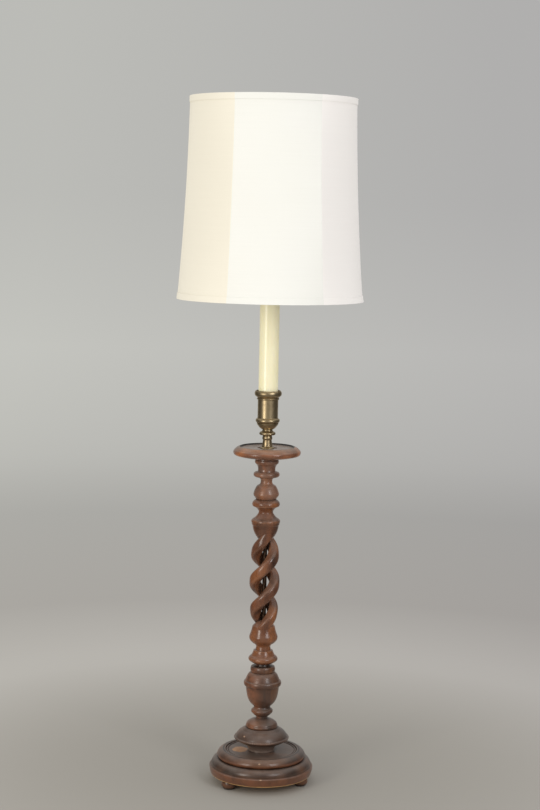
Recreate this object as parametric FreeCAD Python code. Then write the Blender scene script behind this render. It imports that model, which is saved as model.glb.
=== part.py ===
import FreeCAD, Part
import math
import os

# Candlestick floor lamp. Millimetres, +Z up, front towards -Y.
# The origin is on the floor, in the middle under the lamp.
Vector = FreeCAD.Vector

# ---------------------------------------------------------------- driving dimensions
# A turned outline is a list of turned members from the bottom up:
# (height, end radius) is straight, (height, end radius, radius half way up) is an arc.

# clearances
SEAT_GAP = 0.3          # between pieces that move past each other or rest loosely
THREAD_GAP = 0.1        # radial gap between a thread and its hole
SLIP_GAP = 0.2          # radial gap of a push fit
TRIM_GAP = 0.3          # between the cloth and a trim
KEY_FIT = 0.05          # radial gap of the switch key on its shaft
CUT_OVERLAP = 1.0       # how far a cutter reaches past the face that it opens

# lamp pipe that the whole column is threaded on
PIPE_RADIUS = 4.8
PIPE_WALL = 1.4
PIPE_CLEARANCE = 0.4

# three bun feet
FOOT_HEIGHT = 20.0
FOOT_BOTTOM_RADIUS = 12.0
FOOT_RADIUS = 17.0
FOOT_TOP_RADIUS = 14.0
FOOT_CIRCLE = 95.0
FOOT_ANGLES = {"foot_left": -138.4, "foot_right": -18.4, "foot_rear": 101.6}
SCREW_RADIUS = 2.2
SCREW_HEAD_RADIUS = 4.2
SCREW_HEAD_HEIGHT = 3.0
SCREW_SINK = 8.0
SCREW_GRIP = 13.0

# lowest tier of the base
PLINTH_HEIGHT = 36.0
PLINTH_RADIUS = 118.3
PLINTH_EDGE_HEIGHT = 17.0
PLINTH_EDGE_INSET = 4.0
PLINTH_ARRIS = 1.6
PLINTH_TOP_RADIUS = 97.5
PLINTH_TOP_CROWN = 1.8
PLINTH_TOP_SWELL = 5.1
PLINTH_SHELF = 2.8
PLINTH_SHELF_RISE = 0.6
PLINTH_FILLET = 1.2
RECESS_RADIUS = 48.0
RECESS_DEPTH = 24.0
WASHER_RADIUS = 19.0
WASHER_THICKNESS = 2.0
NUT_ACROSS_FLATS = 16.0
NUT_HEIGHT = 6.0
PIPE_TAIL = 6.0

# cord bushing in the back of the lowest tier
BUSHING_HEIGHT = 28.0
BUSHING_BORE = 3.3
BUSHING_TUBE_RADIUS = 4.6
BUSHING_LENGTH = 15.0
BUSHING_FLANGE_RADIUS = 6.0
BUSHING_FLANGE = 2.0
BUSHING_INSET = 2.6

# middle tier of the base
STEP_HEIGHT = 17.0
STEP_FOOT_RADIUS = 96.0
STEP_RADIUS = 100.5
STEP_SHOULDER_RADIUS = 82.0
STEP_SHOULDER_RISE = 2.0
STEP_SHOULDER_CROWN = 4.7
STEP_SHOULDER_SWELL = 2.3
BEAD_RADIUS = 78.2
BEAD_WIDTH = 4.2
BEAD_HEIGHT = 2.4
GROOVE_WIDTH = 1.6
GROOVE_DEPTH = 1.2

# turned members of the domed disc and of the column
DOME_START = 30.0
DOME = [(4.0, 30.0), (15.0, 47.0, 34.5), (7.5, 60.0, 55.0), (0.8, 61.4), (4.4, 61.8, 62.9),
        (0.6, 59.8), (1.0, 59.2), (15.2, 44.6, 54.6), (5.0, 37.0, 41.3)]
LOWER_URN_START = 35.3
LOWER_URN = [(1.0, 36.0), (6.5, 35.0, 36.4), (5.0, 31.5, 34.2), (5.5, 22.0, 27.7), (3.5, 13.2, 16.6),
             (4.0, 13.2), (9.0, 23.6, 19.4), (8.0, 22.2, 24.8), (5.5, 18.4, 19.4), (6.0, 24.0, 20.8),
             (8.5, 30.6, 27.8), (14.0, 35.3, 33.6), (20.0, 38.0, 37.0), (1.0, 40.8), (10.5, 41.8, 42.9),
             (2.0, 39.0), (8.0, 35.9, 37.7), (9.5, 29.2, 33.6), (1.5, 26.6), (13.0, 26.6, 28.3),
             (2.3, 17.0), (3.5, 15.6)]
BELL_START = 15.6
BELL = [(2.2, 16.2), (1.0, 24.5), (6.0, 32.6, 29.4), (7.5, 31.2, 33.3), (3.5, 27.0, 29.5),
        (11.5, 21.8, 23.8), (1.5, 17.4), (7.0, 16.2), (5.5, 19.2, 17.2), (10.5, 31.0, 26.6),
        (12.0, 31.0, 32.4), (18.5, 25.8, 27.8)]
BELL_END_CAP = [(4.0, 22.6, 24.6), (10.0, 9.0, 17.5)]
UPPER_URN_CAP_START = 8.0
UPPER_URN_CAP = (10.0, 19.0, 15.5)
UPPER_URN = [(27.0, 29.6, 26.6), (7.0, 32.0, 31.4), (6.0, 31.8, 32.9), (4.5, 25.8, 29.4),
             (9.5, 17.8, 21.0), (8.0, 17.6, 16.2), (8.0, 25.5, 20.8), (1.2, 29.6), (10.5, 29.4, 31.4),
             (5.5, 22.4, 26.6)]
BULB_TURNING_START = 22.2
BULB_TURNING = [(5.3, 25.9, 24.4), (11.0, 27.9, 28.9), (15.0, 20.6, 25.2), (3.5, 14.8, 17.2),
                (5.0, 13.1, 13.6), (3.5, 13.1), (4.0, 14.8, 13.7)]
VASE_START = 15.6
VASE = [(2.5, 17.0), (1.0, 25.6), (10.5, 27.2, 29.6), (2.5, 20.2), (8.5, 20.0, 19.6), (8.0, 24.6, 21.3),
        (2.0, 26.4), (7.8, 26.3, 27.2), (3.0, 26.0)]

# open barley twist
TWIST_PITCH = 137.4
TWIST_TURNS = 1.5
TWIST_RADIUS = 34.2
TWIST_END_RADIUS = 26.5
TWIST_SWELL_POWER = 2.5
STRAND_DEPTH = 22.0
STRAND_WIDTH = 25.0
STRAND_SQUARENESS = 0.62
STRAND_EMBED_LOW = 26.0
STRAND_EMBED_HIGH = 36.0
STRAND_STATIONS = 28
STRAND_POINTS = 16

# drip pan
PAN_FOOT_RADIUS = 31.0
PAN_OUTSIDE = [(6.6, 69.5, 55.0), (13.4, 72.8, 76.2), (6.7, 61.8, 69.2)]
PAN_FLOOR_RADIUS = 57.5
PAN_FLOOR = 23.2
PAN_SCOOP = 1.0
PAN_SEAT_RADIUS = 22.0
PAN_SEAT_DEPTH = 1.6

# brass stem and candle cup
STEM_START = 15.5
STEM = [(2.5, 15.5, 16.2), (2.5, 12.0, 13.4), (3.0, 11.5, 12.3), (8.1, 10.4), (4.0, 9.8),
        (6.5, 11.0, 11.3), (3.0, 10.0), (2.0, 14.0), (5.5, 17.4, 18.4), (2.0, 14.5), (3.0, 11.4, 12.3),
        (2.2, 11.0)]
CUP_START = 12.5
CUP_BOWL = [(8.5, 21.4, 18.4), (0.8, 22.6), (5.2, 24.6, 23.9), (0.8, 23.8), (9.0, 24.6, 27.2), (0.7, 23.6)]
CUP_RADIUS = 23.0
CUP_BARREL = 42.0
CUP_BEAD = [(0.5, 24.0), (2.5, 24.4, 25.4), (1.0, 23.9)]
CUP_LIP = [(3.0, 26.6, 24.8), (13.5, 27.4, 30.6)]
CUP_WALL = 0.6
CUP_LIP_WALL = 1.2
CUP_SEAT = 4.0
CUP_FLOOR = 22.0

# candle sleeve
SLEEVE_RADIUS = 22.1
SLEEVE_WALL = 1.0
SLEEVE_LENGTH = 363.3
SLEEVE_CAP_THICKNESS = 2.0
SLEEVE_CAP_SPIGOT = 6.0

# lamp holder
HOLDER_NECK_RADIUS = 8.0
HOLDER_NECK_HEIGHT = 6.0
HOLDER_RADIUS = 17.5
HOLDER_CAP_HEIGHT = 22.0
HOLDER_CAP_WALL = 1.2
HOLDER_SHELL_HEIGHT = 56.0
HOLDER_SHELL_WALL = 0.8
PIPE_ENTRY = 5.0
LINER_WALL = 0.7
INSULATOR_RADIUS = 13.4
INSULATOR_HEIGHT = 27.0
INSULATOR_RIM = 3.0
SCREW_SHELL_WALL = 0.5
SCREW_SHELL_RADIUS = 13.7
SCREW_SHELL_HEIGHT = 27.0
CONTACT_RADIUS = 3.0
CONTACT_HEIGHT = 1.6

# turn switch on the front of the lamp holder
SWITCH_HEIGHT = 15.0
SWITCH_SHAFT_RADIUS = 2.0
SWITCH_SHAFT_DEPTH = 9.0
SWITCH_SHAFT_REACH = 11.0
KEY_WIDTH = 14.0
KEY_LENGTH = 12.0
KEY_THICKNESS = 4.6
KEY_SOCKET = 4.0
KEY_WALL = 1.0

# bulb
BULB_BASE_RADIUS = 12.7
BULB_BASE_HEIGHT = 24.0
BULB_TIP_RADIUS = 5.0
BULB_TIP_HEIGHT = 3.0
BULB_NECK_RADIUS = 14.5
BULB_NECK_HEIGHT = 12.0
BULB_RADIUS = 30.0
BULB_HEIGHT = 84.0
BULB_GLASS_WALL = 0.8

# harp, saddle and ferrules
WIRE_RADIUS = 2.0
HARP_CLEARANCE = 1.3
SADDLE_WIDTH = 14.0
SADDLE_THICKNESS = 2.0
EAR_RADIUS = 2.4
EAR_HEIGHT = 22.0
EAR_SHOULDER_RADIUS = 3.4
HARP_LEG = 44.0
HARP_FLARE = 70.0
HARP_WIDTH = 112.0
HARP_SIDE = 95.0
HARP_SHOULDER = 74.0
HARP_TOP_SPAN = 36.0
HARP_SMALL_BEND = 40.0
HARP_TOP_BEND = 16.0
HARP_BLOCK_RADIUS = 7.0
HARP_BLOCK_HEIGHT = 8.0
STUD_RADIUS = 3.1
STUD_LENGTH = 15.0
FERRULE_WALL = 1.2
FERRULE_LENGTH = 14.0
FERRULE_OVERLAP = 7.0

# shade
SHADE_HEIGHT = 445.4
SHADE_TOP_RADIUS = 186.2
SHADE_BOTTOM_RADIUS = 209.0
SHADE_WAIST = 4.0
PANEL_SAG = 13.0
PANEL_LEVELS = 7
FABRIC_THICKNESS = 1.2
TRIM_THICKNESS = 1.2
TRIM_HEIGHT = 14.0
RIB_COUNT = 6
RIB_START_ANGLE = 3.5
RIB_RADIUS = 1.2
RING_WIRE_RADIUS = 1.6
WIRE_GAP = 0.8
HUB_RADIUS = 16.0
HUB_THICKNESS = 2.0
HUB_DROP = 30.2
ARM_COUNT = 3
ARM_START_ANGLE = 93.5

# finial
FINIAL_START = 6.0
FINIAL = [(3.0, 6.0, 6.8), (2.5, 4.2, 4.6), (6.0, 8.6, 7.6), (6.0, 5.6, 8.4), (3.0, 1.5, 4.4)]
FINIAL_SOCKET = 14.0

# ---------------------------------------------------------------- derived heights and sizes


def height_of(members):
    """Sum of the heights of turned members."""
    return sum(member[0] for member in members)


PIPE_HOLE = PIPE_RADIUS + PIPE_CLEARANCE
PLINTH_Z = FOOT_HEIGHT
STEP_Z = PLINTH_Z + PLINTH_HEIGHT
DOME_Z = STEP_Z + STEP_HEIGHT
LOWER_URN_Z = DOME_Z + height_of(DOME)
BELL_Z = LOWER_URN_Z + height_of(LOWER_URN)
TWIST_Z = BELL_Z + height_of(BELL)
TWIST_LENGTH = TWIST_PITCH * TWIST_TURNS
UPPER_URN_Z = TWIST_Z + TWIST_LENGTH
BULB_TURNING_Z = UPPER_URN_Z + height_of(UPPER_URN)
VASE_Z = BULB_TURNING_Z + height_of(BULB_TURNING)
PAN_Z = VASE_Z + height_of(VASE)
PAN_SEAT_Z = PAN_Z + PAN_FLOOR - PAN_SEAT_DEPTH
STEM_Z = PAN_SEAT_Z
CUP_Z = STEM_Z + height_of(STEM)
CUP_BARREL_Z = CUP_Z + height_of(CUP_BOWL)
CUP_LIP_Z = CUP_BARREL_Z + CUP_BARREL
CUP_TOP_Z = CUP_LIP_Z + height_of(CUP_BEAD + CUP_LIP)
SLEEVE_Z = CUP_BARREL_Z + CUP_SEAT
SLEEVE_TOP_Z = SLEEVE_Z + SLEEVE_LENGTH
SADDLE_Z = SLEEVE_TOP_Z + SLEEVE_CAP_THICKNESS
HOLDER_Z = SADDLE_Z + SADDLE_THICKNESS
SHELL_Z = HOLDER_Z + HOLDER_CAP_HEIGHT
SHELL_TOP_Z = SHELL_Z + HOLDER_SHELL_HEIGHT
INSULATOR_Z = SHELL_Z
SCREW_SHELL_Z = INSULATOR_Z + INSULATOR_HEIGHT
SCREW_SHELL_INNER = SCREW_SHELL_RADIUS - SCREW_SHELL_WALL
BULB_Z = SCREW_SHELL_Z + CONTACT_HEIGHT + SEAT_GAP
GLASS_Z = BULB_Z + BULB_TIP_HEIGHT + BULB_BASE_HEIGHT
SWITCH_Z = SHELL_Z + SWITCH_HEIGHT
RECESS_TOP_Z = PLINTH_Z + RECESS_DEPTH
PIPE_BOTTOM_Z = RECESS_TOP_Z - WASHER_THICKNESS - NUT_HEIGHT - PIPE_TAIL
PIPE_TOP_Z = HOLDER_Z + PIPE_ENTRY
EAR_TOP_Z = HOLDER_Z + EAR_HEIGHT
HARP_START_Z = EAR_TOP_Z + SEAT_GAP
HARP_TOP_Z = HARP_START_Z + HARP_LEG + HARP_FLARE + HARP_SIDE + HARP_SHOULDER
HUB_SEAT_Z = HARP_TOP_Z + HARP_BLOCK_HEIGHT / 2
HUB_Z = HUB_SEAT_Z + SEAT_GAP
FINIAL_Z = HUB_Z + HUB_THICKNESS + SEAT_GAP
SHADE_TOP_Z = HUB_Z + HUB_DROP
SHADE_Z = SHADE_TOP_Z - SHADE_HEIGHT
FERRULE_BORE = EAR_RADIUS + THREAD_GAP
FERRULE_RADIUS = FERRULE_BORE + FERRULE_WALL
SADDLE_SPAN = 2 * (HOLDER_RADIUS + HARP_CLEARANCE + FERRULE_RADIUS)


# ---------------------------------------------------------------- shape helpers


def turned_path(start_radius, z, members):
    """Outline of turned members: its points and arcs, from the bottom up."""
    path = [(start_radius, z)]
    for member in members:
        height, end_radius = member[0], member[1]
        if len(member) == 3:
            path.append((member[2], z + height / 2, end_radius, z + height))
        else:
            path.append((end_radius, z + height))
        z = z + height
    return path


def revolved(path):
    """Solid turned about Z from a closed outline of (radius, z) points and four-number arcs."""
    edges = []
    here = Vector(path[0][0], 0, path[0][1])
    for item in path[1:] + [path[0][:2]]:
        there = Vector(item[-2], 0, item[-1])
        if (there - here).Length < 1e-6:
            continue
        if len(item) == 4:
            edges.append(Part.Arc(here, Vector(item[0], 0, item[1]), there).toShape())
        else:
            edges.append(Part.LineSegment(here, there).toShape())
        here = there
    face = Part.Face(Part.Wire(edges))
    return face.revolve(Vector(0, 0, 0), Vector(0, 0, 1), 360)


def turned(start_radius, z, members, bore):
    """Turned solid with a straight bore on its axis."""
    top = z + height_of(members)
    return revolved(turned_path(start_radius, z, members) + [(bore, top), (bore, z)])


def tube(outer, inner, z, height):
    """Straight tube or washer standing on Z."""
    return revolved([(outer, z), (outer, z + height), (inner, z + height), (inner, z)])


def cylinder(radius, start, direction, length):
    """Round bar from a start point along a direction."""
    return Part.makeCylinder(radius, length, start, direction)


def around(angle, radius, z):
    """Point at an angle in degrees from +X."""
    turn = math.radians(angle)
    return Vector(radius * math.cos(turn), radius * math.sin(turn), z)


def bent_wire(points, bends, radius):
    """Round wire along straight runs joined by tangent arcs of the given bend radii."""
    edges = []
    here = points[0]
    for corner, after, bend in zip(points[1:-1], points[2:], bends):
        back = (here - corner).normalize()
        ahead = (after - corner).normalize()
        half = back.getAngle(ahead) / 2
        reach = bend / math.tan(half)
        middle = (back + ahead).normalize()
        start, end = corner + back * reach, corner + ahead * reach
        crown = corner + middle * (bend / math.sin(half) - bend)
        edges.append(Part.LineSegment(here, start).toShape())
        edges.append(Part.Arc(start, crown, end).toShape())
        here = end
    edges.append(Part.LineSegment(here, points[-1]).toShape())
    spine = Part.Wire(edges)
    direction = points[1] - points[0]
    section = Part.Wire([Part.makeCircle(radius, points[0], direction)])
    return spine.makePipeShell([section], True, False)


def save(name, shape):
    """Write one node."""
    shape.exportStep("parts/" + name + ".step")
    print(name, "solids", len(shape.Solids), "valid", shape.isValid(), "volume", round(shape.Volume))


# ---------------------------------------------------------------- base


def make_foot(angle):
    """Turned bun foot with a sunk hole for its screw."""
    half = FOOT_HEIGHT / 2
    outline = [(FOOT_BOTTOM_RADIUS, 0.0), (FOOT_RADIUS, half, FOOT_TOP_RADIUS, FOOT_HEIGHT)]
    hole = SCREW_RADIUS + THREAD_GAP
    sink = SCREW_HEAD_RADIUS + SLIP_GAP
    inside = [(hole, FOOT_HEIGHT), (hole, SCREW_SINK), (sink, SCREW_SINK), (sink, 0.0)]
    foot = revolved(outline + inside)
    foot.translate(around(angle, FOOT_CIRCLE, 0))
    return foot


def make_foot_screws():
    """Three wood screws, one up through each foot."""
    screws = []
    for angle in FOOT_ANGLES.values():
        shank_top = FOOT_HEIGHT + SCREW_GRIP
        head_z = SCREW_SINK - SCREW_HEAD_HEIGHT
        outline = [(0.0, head_z), (SCREW_HEAD_RADIUS, head_z), (SCREW_HEAD_RADIUS, SCREW_SINK),
                   (SCREW_RADIUS, SCREW_SINK), (SCREW_RADIUS, shank_top), (0.0, shank_top)]
        screw = revolved(outline)
        screw.translate(around(angle, FOOT_CIRCLE, 0))
        screws.append(screw)
    return Part.makeCompound(screws)


def make_plinth():
    """Lowest tier: moulded disc, hollowed below, with holes for pipe, screws and cord."""
    bottom_radius = PLINTH_RADIUS - PLINTH_EDGE_INSET
    arris_z = PLINTH_Z + PLINTH_EDGE_HEIGHT
    shelf_radius = PLINTH_RADIUS - PLINTH_ARRIS
    shelf_z = arris_z + PLINTH_ARRIS
    fillet_radius = shelf_radius - PLINTH_SHELF
    fillet_z = shelf_z + PLINTH_SHELF_RISE
    crown_radius = (fillet_radius + PLINTH_TOP_RADIUS) / 2 + PLINTH_TOP_SWELL
    crown_z = (fillet_z + PLINTH_FILLET + STEP_Z) / 2 + PLINTH_TOP_CROWN
    edge_mid = (PLINTH_RADIUS - PLINTH_EDGE_INSET * 0.3, PLINTH_Z + PLINTH_EDGE_HEIGHT * 0.5)
    plinth = revolved([
        (bottom_radius, PLINTH_Z),
        edge_mid + (PLINTH_RADIUS, arris_z),
        (shelf_radius, shelf_z),
        (fillet_radius, fillet_z),
        (fillet_radius, fillet_z + PLINTH_FILLET),
        (crown_radius, crown_z, PLINTH_TOP_RADIUS, STEP_Z),
        (PIPE_HOLE, STEP_Z),
        (PIPE_HOLE, RECESS_TOP_Z),
        (RECESS_RADIUS, RECESS_TOP_Z),
        (RECESS_RADIUS, PLINTH_Z)])
    cuts = []
    for angle in FOOT_ANGLES.values():
        cuts.append(cylinder(SCREW_RADIUS + THREAD_GAP, around(angle, FOOT_CIRCLE, PLINTH_Z - CUT_OVERLAP),
                             Vector(0, 0, 1), SCREW_GRIP + 2 * CUT_OVERLAP))
    cord_axis = Vector(0, 1, 0)
    inside = Vector(0, RECESS_RADIUS - BUSHING_TUBE_RADIUS, BUSHING_HEIGHT)
    cuts.append(cylinder(BUSHING_TUBE_RADIUS + SLIP_GAP, inside, cord_axis, PLINTH_RADIUS))
    seat = PLINTH_RADIUS - PLINTH_EDGE_INSET - BUSHING_INSET
    cuts.append(cylinder(BUSHING_FLANGE_RADIUS + SLIP_GAP, Vector(0, seat, BUSHING_HEIGHT),
                         cord_axis, PLINTH_RADIUS))
    return plinth.cut(cuts)


def make_bushing():
    """Flanged bushing that lines the cord hole at the back."""
    seat = PLINTH_RADIUS - PLINTH_EDGE_INSET - BUSHING_INSET
    outline = [(BUSHING_BORE, 0.0), (BUSHING_TUBE_RADIUS, 0.0), (BUSHING_TUBE_RADIUS, BUSHING_LENGTH),
               (BUSHING_FLANGE_RADIUS, BUSHING_LENGTH),
               (BUSHING_FLANGE_RADIUS, BUSHING_LENGTH + BUSHING_FLANGE * 0.6),
               (BUSHING_FLANGE_RADIUS - 1.0, BUSHING_LENGTH + BUSHING_FLANGE),
               (BUSHING_BORE, BUSHING_LENGTH + BUSHING_FLANGE)]
    bushing = revolved(outline)
    bushing.rotate(Vector(0, 0, 0), Vector(1, 0, 0), -90)
    bushing.translate(Vector(0, seat - BUSHING_LENGTH, BUSHING_HEIGHT))
    return bushing


def make_step():
    """Middle tier: half-round disc with a bead between two grooves round its sunk flat top."""
    top_z = STEP_Z + STEP_HEIGHT
    outer_groove = BEAD_RADIUS + BEAD_WIDTH / 2
    inner_groove = BEAD_RADIUS - BEAD_WIDTH / 2
    bulge_z = STEP_Z + STEP_HEIGHT * 0.45
    roll_radius = (STEP_RADIUS + STEP_SHOULDER_RADIUS) / 2 + STEP_SHOULDER_SWELL
    roll_z = (bulge_z + top_z) / 2 + STEP_SHOULDER_CROWN
    groove_z = top_z - GROOVE_DEPTH
    return revolved([
        (STEP_FOOT_RADIUS, STEP_Z),
        ((STEP_FOOT_RADIUS + STEP_RADIUS) / 2 + 1.4, (STEP_Z + bulge_z) / 2, STEP_RADIUS, bulge_z),
        (roll_radius, roll_z, STEP_SHOULDER_RADIUS, top_z + STEP_SHOULDER_RISE),
        (outer_groove + GROOVE_WIDTH / 2, groove_z),
        (outer_groove, groove_z),
        (BEAD_RADIUS, top_z + BEAD_HEIGHT - GROOVE_DEPTH, inner_groove, groove_z),
        (inner_groove - GROOVE_WIDTH / 2, groove_z),
        (inner_groove - GROOVE_WIDTH, top_z),
        (PIPE_HOLE, top_z),
        (PIPE_HOLE, STEP_Z)])


# ---------------------------------------------------------------- column


def strand_envelope(z):
    """Outer radius of the twist: fullest in the middle, drawn in towards both ends."""
    share = min(max((z - TWIST_Z) / TWIST_LENGTH, 0.0), 1.0)
    swell = 1.0 - abs(2.0 * share - 1.0) ** TWIST_SWELL_POWER
    return TWIST_END_RADIUS + (TWIST_RADIUS - TWIST_END_RADIUS) * swell


def strand_ring(z, turn):
    """Level section of one strand: a rounded oblong square to the strand, sheared to the level."""
    depth, width = STRAND_DEPTH / 2, STRAND_WIDTH / 2
    centre = strand_envelope(z) - depth
    mean = TWIST_RADIUS - depth
    climb = math.atan2(TWIST_PITCH, 2 * math.pi * mean)
    heading = 2 * math.pi * (z - TWIST_Z) / TWIST_PITCH + turn
    ring = []
    for count in range(STRAND_POINTS):
        angle = math.pi + 2 * math.pi * count / STRAND_POINTS
        across, along = math.cos(angle), math.sin(angle)
        out = depth * math.copysign(abs(across) ** STRAND_SQUARENESS, across)
        side = width * math.copysign(abs(along) ** STRAND_SQUARENESS, along)
        radius = centre + out
        shear = math.sin(climb) / max(radius, depth) + math.cos(climb) * 2 * math.pi / TWIST_PITCH
        ring.append(around(math.degrees(heading - side * shear), radius, z))
    ring.append(Vector(ring[0]))
    return ring


def make_strand(turn):
    """One strand of the twist, run into the solid wood at both ends."""
    low, high = TWIST_Z - STRAND_EMBED_LOW, UPPER_URN_Z + STRAND_EMBED_HIGH
    levels = [low + (high - low) * count / STRAND_STATIONS for count in range(STRAND_STATIONS + 1)]
    surface = Part.BSplineSurface()
    surface.interpolate([strand_ring(z, turn) for z in levels])
    side = surface.toShape()
    caps = []
    for edge in side.Edges:
        ends = [vertex.Point.z for vertex in edge.Vertexes]
        if max(ends) - min(ends) < 1e-6:
            caps.append(Part.Face(Part.Wire([edge])))
    shell = Part.makeShell([side] + caps)
    shell.sewShape()
    return Part.makeSolid(shell)


def make_twist_column():
    """Bell, open two-strand twist and upper urn, cut from one length of wood."""
    bell = turned(BELL_START, BELL_Z, BELL + BELL_END_CAP, 0.0)
    urn_z = UPPER_URN_Z - UPPER_URN_CAP[0]
    urn = turned(UPPER_URN_CAP_START, urn_z, [UPPER_URN_CAP] + UPPER_URN, 0.0)
    front = -math.pi / 2
    strands = [make_strand(front), make_strand(front + math.pi)]
    hole = cylinder(PIPE_HOLE, Vector(0, 0, BELL_Z - CUT_OVERLAP), Vector(0, 0, 1),
                    BULB_TURNING_Z - BELL_Z + 2 * CUT_OVERLAP)
    return bell.fuse([urn] + strands).cut(hole)


def make_pan():
    """Wide turned wooden dish with a thick rounded edge."""
    outside = turned_path(PAN_FOOT_RADIUS, PAN_Z, PAN_OUTSIDE)
    rim_radius, rim_z = outside[-1][-2:]
    floor_z = PAN_Z + PAN_FLOOR
    scoop = ((rim_radius + PAN_FLOOR_RADIUS) / 2, (rim_z + floor_z) / 2 - PAN_SCOOP)
    return revolved(outside + [
        scoop + (PAN_FLOOR_RADIUS, floor_z),
        (PAN_SEAT_RADIUS, floor_z),
        (PAN_SEAT_RADIUS, PAN_SEAT_Z),
        (PIPE_HOLE, PAN_SEAT_Z),
        (PIPE_HOLE, PAN_Z)])


def make_pipe():
    """Threaded lamp pipe from under the base up into the lamp holder."""
    return tube(PIPE_RADIUS, PIPE_RADIUS - PIPE_WALL, PIPE_BOTTOM_Z, PIPE_TOP_Z - PIPE_BOTTOM_Z)


def make_nut():
    """Hexagon lock nut on the bottom end of the pipe."""
    corner = NUT_ACROSS_FLATS / 2 / math.cos(math.radians(30))
    z = RECESS_TOP_Z - WASHER_THICKNESS - NUT_HEIGHT
    corners = [around(60 * count, corner, z) for count in range(7)]
    hexagon = Part.Face(Part.makePolygon(corners)).extrude(Vector(0, 0, NUT_HEIGHT))
    hole = cylinder(PIPE_RADIUS + THREAD_GAP, Vector(0, 0, z - CUT_OVERLAP), Vector(0, 0, 1),
                    NUT_HEIGHT + 2 * CUT_OVERLAP)
    return hexagon.cut(hole)


# ---------------------------------------------------------------- candle


def make_cup():
    """Spun brass cup: heavy bowl, thin barrel and a flared lip."""
    outside = turned_path(CUP_START, CUP_Z, CUP_BOWL)
    outside.append((CUP_RADIUS, CUP_BARREL_Z + 1.0))
    outside += turned_path(CUP_RADIUS, CUP_LIP_Z, CUP_BEAD + CUP_LIP)
    flare, lip = CUP_LIP
    flare_z = CUP_LIP_Z + height_of(CUP_BEAD)
    lip_z = flare_z + flare[0]
    barrel_inner = CUP_RADIUS - CUP_WALL
    seat_inner = SLEEVE_RADIUS - SLEEVE_WALL - SLIP_GAP
    floor_z = CUP_Z + CUP_FLOOR
    inside = [
        (lip[1] - CUP_LIP_WALL, CUP_TOP_Z),
        (lip[2] - CUP_LIP_WALL, lip_z + lip[0] / 2, flare[1] - CUP_LIP_WALL, lip_z),
        (barrel_inner, flare_z),
        (barrel_inner, SLEEVE_Z),
        (seat_inner, SLEEVE_Z),
        (seat_inner, floor_z),
        (PIPE_HOLE, floor_z),
        (PIPE_HOLE, CUP_Z)]
    return revolved(outside + inside)


def make_sleeve_cap():
    """Spun brass cap that closes the sleeve and centres it on the pipe."""
    inner = SLEEVE_RADIUS - SLEEVE_WALL - SLIP_GAP
    spigot_z = SLEEVE_TOP_Z - SLEEVE_CAP_SPIGOT
    return revolved([
        (PIPE_HOLE, SLEEVE_TOP_Z), (inner - SLEEVE_WALL, SLEEVE_TOP_Z), (inner - SLEEVE_WALL, spigot_z),
        (inner, spigot_z), (inner, SLEEVE_TOP_Z), (SLEEVE_RADIUS, SLEEVE_TOP_Z),
        (SLEEVE_RADIUS, SLEEVE_TOP_Z + SLEEVE_CAP_THICKNESS), (PIPE_HOLE, SLEEVE_TOP_Z + SLEEVE_CAP_THICKNESS)])


# ---------------------------------------------------------------- lamp holder, switch and bulb


def shaft_hole(radius):
    """Cutter for the switch shaft's hole, towards the front."""
    return cylinder(radius, Vector(0, -SWITCH_SHAFT_DEPTH, SWITCH_Z), Vector(0, -1, 0), HOLDER_RADIUS)


def make_holder_cap():
    """Cap of the lamp holder, screwed on the pipe."""
    neck_top = HOLDER_Z + HOLDER_NECK_HEIGHT
    inner = HOLDER_RADIUS - HOLDER_CAP_WALL
    swell = (HOLDER_RADIUS - 1.6, (neck_top + SHELL_Z) / 2 - 2.0)
    inside_swell = (swell[0] - HOLDER_CAP_WALL, swell[1] + HOLDER_CAP_WALL)
    hole = PIPE_RADIUS + THREAD_GAP
    return revolved([
        (hole, HOLDER_Z), (HOLDER_NECK_RADIUS, HOLDER_Z), (HOLDER_NECK_RADIUS, neck_top),
        swell + (HOLDER_RADIUS, SHELL_Z), (inner, SHELL_Z),
        inside_swell + (HOLDER_NECK_RADIUS - HOLDER_CAP_WALL, neck_top + HOLDER_CAP_WALL),
        (hole, neck_top + HOLDER_CAP_WALL)])


def make_holder_shell():
    """Outer brass shell of the lamp holder."""
    shell = tube(HOLDER_RADIUS, HOLDER_RADIUS - HOLDER_SHELL_WALL, SHELL_Z, HOLDER_SHELL_HEIGHT)
    return shell.cut(shaft_hole(SWITCH_SHAFT_RADIUS + SEAT_GAP))


def make_holder_liner():
    """Paper liner inside the shell."""
    outer = HOLDER_RADIUS - HOLDER_SHELL_WALL - SLIP_GAP
    liner = tube(outer, outer - LINER_WALL, SHELL_Z, HOLDER_SHELL_HEIGHT - SLEEVE_CAP_THICKNESS)
    return liner.cut(shaft_hole(SWITCH_SHAFT_RADIUS + SEAT_GAP))


def make_insulator():
    """Moulded body that holds the contacts and the switch."""
    body = cylinder(INSULATOR_RADIUS, Vector(0, 0, INSULATOR_Z), Vector(0, 0, 1), INSULATOR_HEIGHT)
    rim_outer = HOLDER_RADIUS - HOLDER_SHELL_WALL - SLIP_GAP - LINER_WALL - SLIP_GAP
    rim = tube(rim_outer, INSULATOR_RADIUS - CUT_OVERLAP, INSULATOR_Z, INSULATOR_RIM)
    return body.fuse(rim).cut(shaft_hole(SWITCH_SHAFT_RADIUS + THREAD_GAP))


def make_screw_shell():
    """Brass screw shell that takes the bulb's base."""
    return tube(SCREW_SHELL_RADIUS, SCREW_SHELL_INNER, SCREW_SHELL_Z, SCREW_SHELL_HEIGHT)


def make_contact():
    """Centre contact under the bulb."""
    return cylinder(CONTACT_RADIUS, Vector(0, 0, SCREW_SHELL_Z), Vector(0, 0, 1), CONTACT_HEIGHT)


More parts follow.
